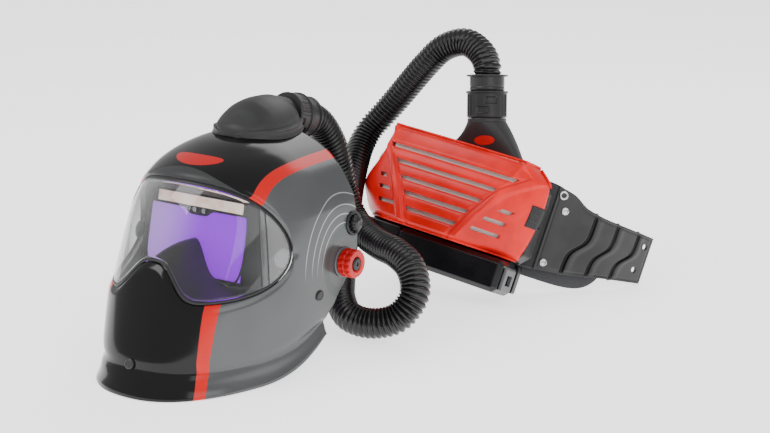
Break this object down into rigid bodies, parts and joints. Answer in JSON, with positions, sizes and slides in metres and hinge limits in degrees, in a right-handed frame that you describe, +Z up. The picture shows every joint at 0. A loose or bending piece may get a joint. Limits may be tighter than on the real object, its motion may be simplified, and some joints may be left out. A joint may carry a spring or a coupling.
{
  "type": "powered air respirator",
  "caption": "Welding helmet with a curved viewing window and top air duct, joined by a corrugated breathing hose to a belt-worn blower with a louvred cover.",
  "frame": {"origin": "on the floor, under the middle of the box around helmet and blower (the hose and its cuffs left out)", "axes": "+Z up; the helmet faces -Y and its left side is towards +X; the blower stands behind it, towards +Y, leaning back on its belt plate"},
  "size_m": [0.3929, 0.6476, 0.2975],
  "materials": {
    "shell": "gloss",
    "clear": "clear gloss",
    "matte": "satin",
    "filter_glass": "mirror-like filter",
    "solar": "satin",
    "steel": "bright",
    "headgear_plastic": "satin",
    "red_plastic": "gloss",
    "fabric": "woven",
    "rubber": "satin",
    "paper": "pleated",
    "grey": "satin",
    "board": "satin",
    "belt": "satin"
  },
  "bodies": {
    "respirator": {"air_duct": "matte", "belt_plate": "belt", "belt_wing_left": "belt", "belt_wing_right": "belt", "blower_housing": "matte", "breathing_hose": "rubber", "chin_plug": "matte", "control_board": "board", "control_panel": "grey", "cover_lens": "clear", "darkening_filter": "filter_glass", "eyelet_left": "steel", "eyelet_right": "steel", "face_seal": "fabric", "fan_motor": "steel", "fan_volute": "grey", "filter_housing": "matte", "filter_seal": "rubber", "helmet_shell": "shell", "hose_cuff_blower": "rubber", "hose_cuff_helmet": "rubber", "inlet_plate": "grey", "lens_frame": "matte", "light_sensor_left": "steel", "light_sensor_right": "steel", "lower_housing": "matte", "lumbar_pad": "fabric", "nose_shield": "matte", "outlet_duct": "matte", "particle_filter": "paper", "rivet_lower_left": "steel", "rivet_lower_right": "steel", "rivet_upper_left": "steel", "rivet_upper_right": "steel", "side_plug_left": "matte", "side_plug_right": "matte", "solar_strip": "solar", "spark_arrestor": "steel", "status_light": "clear"},
    "headgear": {"headband": "headgear_plastic", "sweatband": "fabric", "crown_strap_front": "headgear_plastic", "crown_strap_rear": "headgear_plastic", "side_arm_left": "headgear_plastic", "side_arm_right": "headgear_plastic", "ratchet_box": "headgear_plastic"},
    "ratchet_knob": {"ratchet_knob": "headgear_plastic"},
    "pivot_knob_left": {"pivot_knob_left": "red_plastic", "pivot_knob_left_cap": "matte"},
    "pivot_knob_right": {"pivot_knob_right": "red_plastic", "pivot_knob_right_cap": "matte"},
    "shade_knob": {"shade_knob": "matte"},
    "helmet_coupling": {"helmet_coupling": "matte"},
    "outlet_coupling": {"outlet_coupling": "matte"},
    "filter_cover": {"filter_cover": "red_plastic"},
    "cover_latch": {"cover_latch": "grey"},
    "impeller": {"impeller": "grey"},
    "power_button": {"power_button": "red_plastic"},
    "battery_pack": {"battery_pack": "matte"},
    "battery_latch": {"battery_latch": "grey"}
  },
  "joints": [
    {"name": "headgear_swing", "type": "hinge", "parent": "respirator", "child": "headgear", "pos_m": [-0.0567, -0.1078, 0.10415], "axis": [1, 0, 0], "range_deg": [0, 35]},
    {"name": "ratchet_turn", "type": "hinge", "parent": "headgear", "child": "ratchet_knob", "pos_m": [-0.0567, -0.0005, 0.12615], "axis": [0, 1, 0], "continuous": true},
    {"name": "pivot_knob_left_turn", "type": "hinge", "parent": "headgear", "child": "pivot_knob_left", "pos_m": [0.0553, -0.1078, 0.10415], "axis": [1, 0, 0], "range_deg": [-180, 180]},
    {"name": "pivot_knob_right_turn", "type": "hinge", "parent": "headgear", "child": "pivot_knob_right", "pos_m": [-0.1687, -0.1078, 0.10415], "axis": [-1, 0, 0], "range_deg": [-180, 180]},
    {"name": "shade_knob_turn", "type": "hinge", "parent": "respirator", "child": "shade_knob", "pos_m": [0.05266, -0.0898, 0.14115], "axis": [0.9968, 0, 0.0794], "range_deg": [0, 270]},
    {"name": "helmet_coupling_twist", "type": "hinge", "parent": "respirator", "child": "helmet_coupling", "pos_m": [-0.0567, -0.05375, 0.2369], "axis": [0, 0.9659, -0.2588], "range_deg": [0, 30]},
    {"name": "outlet_coupling_twist", "type": "hinge", "parent": "respirator", "child": "outlet_coupling", "pos_m": [0.02808, 0.21074, 0.21418], "axis": [-0.1182, 0.1796, 0.9766], "range_deg": [0, 30]},
    {"name": "cover_pull", "type": "slide", "parent": "respirator", "child": "filter_cover", "axis": [0.5588, -0.7848, 0.2681], "range_m": [0, 0.04]},
    {"name": "cover_latch_press", "type": "slide", "parent": "respirator", "child": "cover_latch", "axis": [-0.9888, -0.0408, 0.1439], "range_m": [0, 0.0025], "stiffness_N_per_m": 600},
    {"name": "fan_spin", "type": "hinge", "parent": "respirator", "child": "impeller", "pos_m": [-0.012, 0.17828, 0.11021], "axis": [-0.0939, 0.9181, -0.3851], "continuous": true},
    {"name": "power_press", "type": "slide", "parent": "respirator", "child": "power_button", "axis": [-0.1164, -0.3943, -0.9116], "range_m": [0, 0.001], "stiffness_N_per_m": 800},
    {"name": "battery_slide", "type": "slide", "parent": "respirator", "child": "battery_pack", "axis": [0.9888, 0.0408, -0.1439], "range_m": [0, 0.11]},
    {"name": "battery_latch_lift", "type": "hinge", "parent": "battery_pack", "child": "battery_latch", "pos_m": [0.10825, 0.13519, 0.04306], "axis": [0.0939, -0.9181, 0.3851], "range_deg": [0, 15], "stiffness_Nm_per_rad": 0.2}
  ]
}
